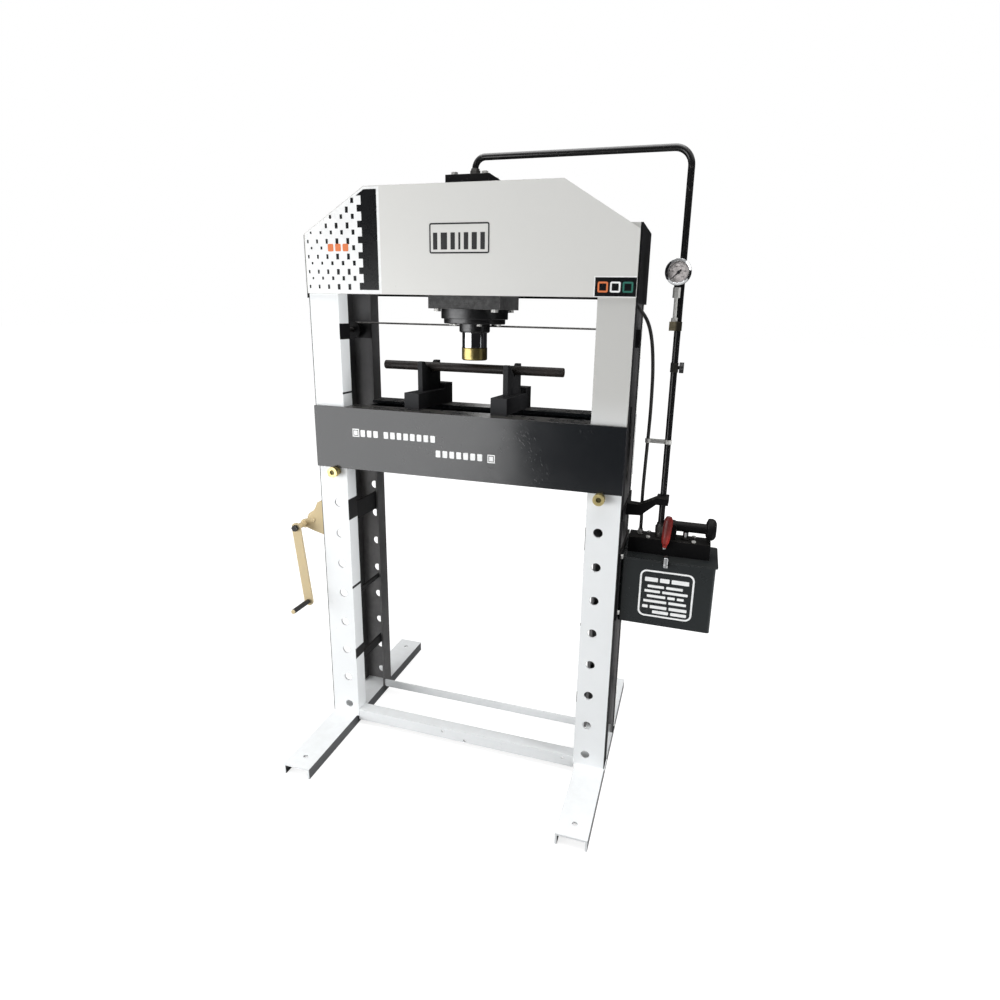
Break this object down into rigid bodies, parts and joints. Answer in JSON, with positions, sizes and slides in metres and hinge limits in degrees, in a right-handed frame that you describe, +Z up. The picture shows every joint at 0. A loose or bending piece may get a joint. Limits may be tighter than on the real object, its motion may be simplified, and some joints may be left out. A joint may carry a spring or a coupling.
{
  "type": "hydraulic workshop press",
  "caption": "H-frame hydraulic workshop press with a winch-raised table, V-blocks and round bar, cylinder in the head, side-mounted hand pump and gauge.",
  "frame": {"origin": "on the floor, in the middle of the four anchor holes: midway between the uprights and midway through the frame's depth", "axes": "+X along the frame's width towards the pump side, +Y to the rear, +Z up"},
  "size_m": [1.3421, 0.82, 1.867],
  "materials": {
    "white_paint": "gloss",
    "black_paint": "satin gloss",
    "grey_paint": "gloss",
    "steel": "turned and machined",
    "chrome": "polished",
    "brass": "turned",
    "zinc_gold": "yellow zinc plated",
    "wire_rope": "greased, dark",
    "hose_rubber": "smooth gloss",
    "red_plastic": "gloss",
    "black_plastic": "matte",
    "dial_face": "matte",
    "glass": "clear",
    "bar_steel": "mill scale, oiled"
  },
  "bodies": {
    "frame": {"feet": "white_paint", "uprights_front": "white_paint", "uprights_rear": "black_paint", "upright_ties": "black_paint", "front_rail": "white_paint", "rear_rail": "black_paint", "head_front_plate": "white_paint", "head_rear_plate": "black_paint", "head_sides": "black_paint", "head_stiffeners": "black_paint", "cylinder_mount_plate": "grey_paint", "cylinder_bolts": "steel", "cylinder_barrel": "black_paint", "cylinder_flange": "steel", "gland": "black_paint", "cylinder_cap": "black_paint", "pipe_fittings": "steel", "pressure_pipe": "black_paint", "pipe_blocks": "brass", "gauge_stem": "chrome", "gauge_case": "black_paint", "gauge_bezel": "chrome", "gauge_dial": "dial_face", "gauge_glass": "glass", "pipe_bracket": "black_paint", "return_hose": "hose_rubber", "hose_fittings": "steel", "hose_clip": "black_paint", "tank_plate": "black_paint", "tank": "black_paint", "tank_lid": "black_paint", "bracket_bolts": "steel", "pump_block": "black_paint", "winch_frame": "zinc_gold", "sheave_plates": "black_paint", "sheave_axles": "steel", "rope_runs": "wire_rope"},
    "table": {"table_front": "grey_paint", "table_rear": "grey_paint", "table_spacers": "grey_paint", "lifting_lugs": "black_paint", "v_blocks": "black_paint", "round_bar": "bar_steel", "rope_drops": "wire_rope"},
    "ram": {"ram": "chrome", "ram_tip": "brass"},
    "needle": {"gauge_needle": "black_plastic"},
    "shutoff": {"shutoff_knob": "black_plastic"},
    "plunger": {"pump_plunger": "chrome"},
    "lever": {"pump_lever": "black_paint"},
    "release": {"release_handle": "red_plastic"},
    "drum": {"winch_drum": "zinc_gold", "rope_coil": "wire_rope"},
    "crank": {"crank_shaft": "zinc_gold", "crank_arm": "zinc_gold"},
    "grip": {"crank_grip": "zinc_gold"},
    "sheaves_left": {"sheaves_left": "steel"},
    "sheave_right": {"sheave_right": "steel"},
    "pin_left": {"table_pin_left": "brass"},
    "pin_right": {"table_pin_right": "brass"}
  },
  "joints": [
    {"name": "table_lift", "type": "slide", "parent": "frame", "child": "table", "axis": [0, 0, 1], "range_m": [0, 0.008], "deforming": ["rope_drops"]},
    {"name": "ram_slide", "type": "slide", "parent": "frame", "child": "ram", "axis": [0, 0, -1], "range_m": [-0.044, 0.005]},
    {"name": "needle_turn", "type": "hinge", "parent": "frame", "child": "needle", "pos_m": [0.585, -0.035, 1.549], "axis": [0, 1, 0], "range_deg": [0, 270], "stiffness_Nm_per_rad": 0.002},
    {"name": "shutoff_turn", "type": "hinge", "parent": "frame", "child": "shutoff", "pos_m": [0.612, 0, 1.298], "axis": [1, 0, 0], "range_deg": [0, 540]},
    {"name": "lever_swing", "type": "hinge", "parent": "frame", "child": "lever", "pos_m": [0.63, -0.007, 0.838], "axis": [0, -1, 0], "range_deg": [0, 30]},
    {"name": "plunger_slide", "type": "slide", "parent": "frame", "child": "plunger", "axis": [0, 0, 1], "range_m": [0, 0.0127]},
    {"name": "release_turn", "type": "hinge", "parent": "frame", "child": "release", "pos_m": [0.612, -0.057, 0.79], "axis": [0, 1, 0], "range_deg": [0, 90]},
    {"name": "drum_turn", "type": "hinge", "parent": "frame", "child": "drum", "pos_m": [-0.5258, -0.08, 0.7545], "axis": [0, 1, 0], "range_deg": [0, 27.5]},
    {"name": "crank_turn", "type": "hinge", "parent": "frame", "child": "crank", "pos_m": [-0.56114, -0.1, 0.738], "axis": [0, 1, 0], "range_deg": [-55, 0]},
    {"name": "grip_spin", "type": "hinge", "parent": "crank", "child": "grip", "pos_m": [-0.5322, -0.207, 0.48002], "axis": [0, 1, 0], "continuous": true},
    {"name": "sheaves_left_turn", "type": "hinge", "parent": "frame", "child": "sheaves_left", "pos_m": [-0.446, 0, 1.371], "axis": [0, 1, 0], "range_deg": [-20, 0]},
    {"name": "sheave_right_turn", "type": "hinge", "parent": "frame", "child": "sheave_right", "pos_m": [0.446, 0.052, 1.371], "axis": [0, 1, 0], "range_deg": [-20, 0]},
    {"name": "pin_left_slide", "type": "slide", "parent": "frame", "child": "pin_left", "axis": [0, -1, 0], "range_m": [0, 0.28]},
    {"name": "pin_right_slide", "type": "slide", "parent": "frame", "child": "pin_right", "axis": [0, -1, 0], "range_m": [0, 0.28]}
  ],
  "couplings": [
    {"joint": "drum_turn", "follows": "table_lift", "rad_per_m": 58.824},
    {"joint": "crank_turn", "follows": "table_lift", "rad_per_m": -117.65},
    {"joint": "sheaves_left_turn", "follows": "table_lift", "rad_per_m": -41.667},
    {"joint": "sheave_right_turn", "follows": "table_lift", "rad_per_m": -41.667},
    {"joint": "plunger_slide", "follows": "lever_swing", "m_per_rad": 0.024}
  ]
}
